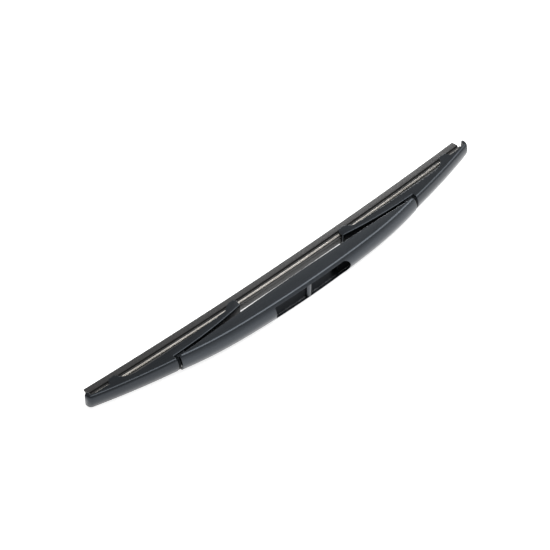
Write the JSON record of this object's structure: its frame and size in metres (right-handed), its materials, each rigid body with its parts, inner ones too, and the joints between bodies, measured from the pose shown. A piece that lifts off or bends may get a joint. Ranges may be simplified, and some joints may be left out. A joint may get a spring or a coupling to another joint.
{
  "type": "wiper blade",
  "caption": "Rear window wiper blade: a domed channel bridge with an arm pin in its slot, two rocking yokes with claws, a rubber wiping element and spring steel strips.",
  "frame": {"origin": "centre of the cross pin that the wiper arm holds", "axes": "+X along the blade, +Y from the back towards the rubber lip and the glass, +Z across the width, along the arm pin. The blade lies on its side, as in the picture."},
  "size_m": [0.346, 0.0371, 0.0164],
  "materials": {
    "frame_plastic": "fine moulded grain, satin black",
    "yoke_plastic": "fine moulded grain, satin black",
    "wiping_rubber": "graphite coated matt black",
    "strip_steel": "rolled strip, bright edges"
  },
  "bodies": {
    "bridge": {"primary_bridge": "frame_plastic", "rubber_element": "wiping_rubber", "flexor_near": "strip_steel", "flexor_far": "strip_steel"},
    "yoke_left": {"yoke_left": "yoke_plastic"},
    "yoke_right": {"yoke_right": "yoke_plastic"}
  },
  "joints": [
    {"name": "yoke_left_pivot", "type": "hinge", "parent": "bridge", "child": "yoke_left", "pos_m": [-0.096, 0.0078, 0], "axis": [0, 0, 1], "range_deg": [-6, 6], "stiffness_Nm_per_rad": 0.8, "deforming": ["rubber_element", "flexor_near", "flexor_far"]},
    {"name": "yoke_right_pivot", "type": "hinge", "parent": "bridge", "child": "yoke_right", "pos_m": [0.096, 0.0078, 0], "axis": [0, 0, 1], "range_deg": [-6, 6], "stiffness_Nm_per_rad": 0.8, "deforming": ["rubber_element", "flexor_near", "flexor_far"]}
  ]
}
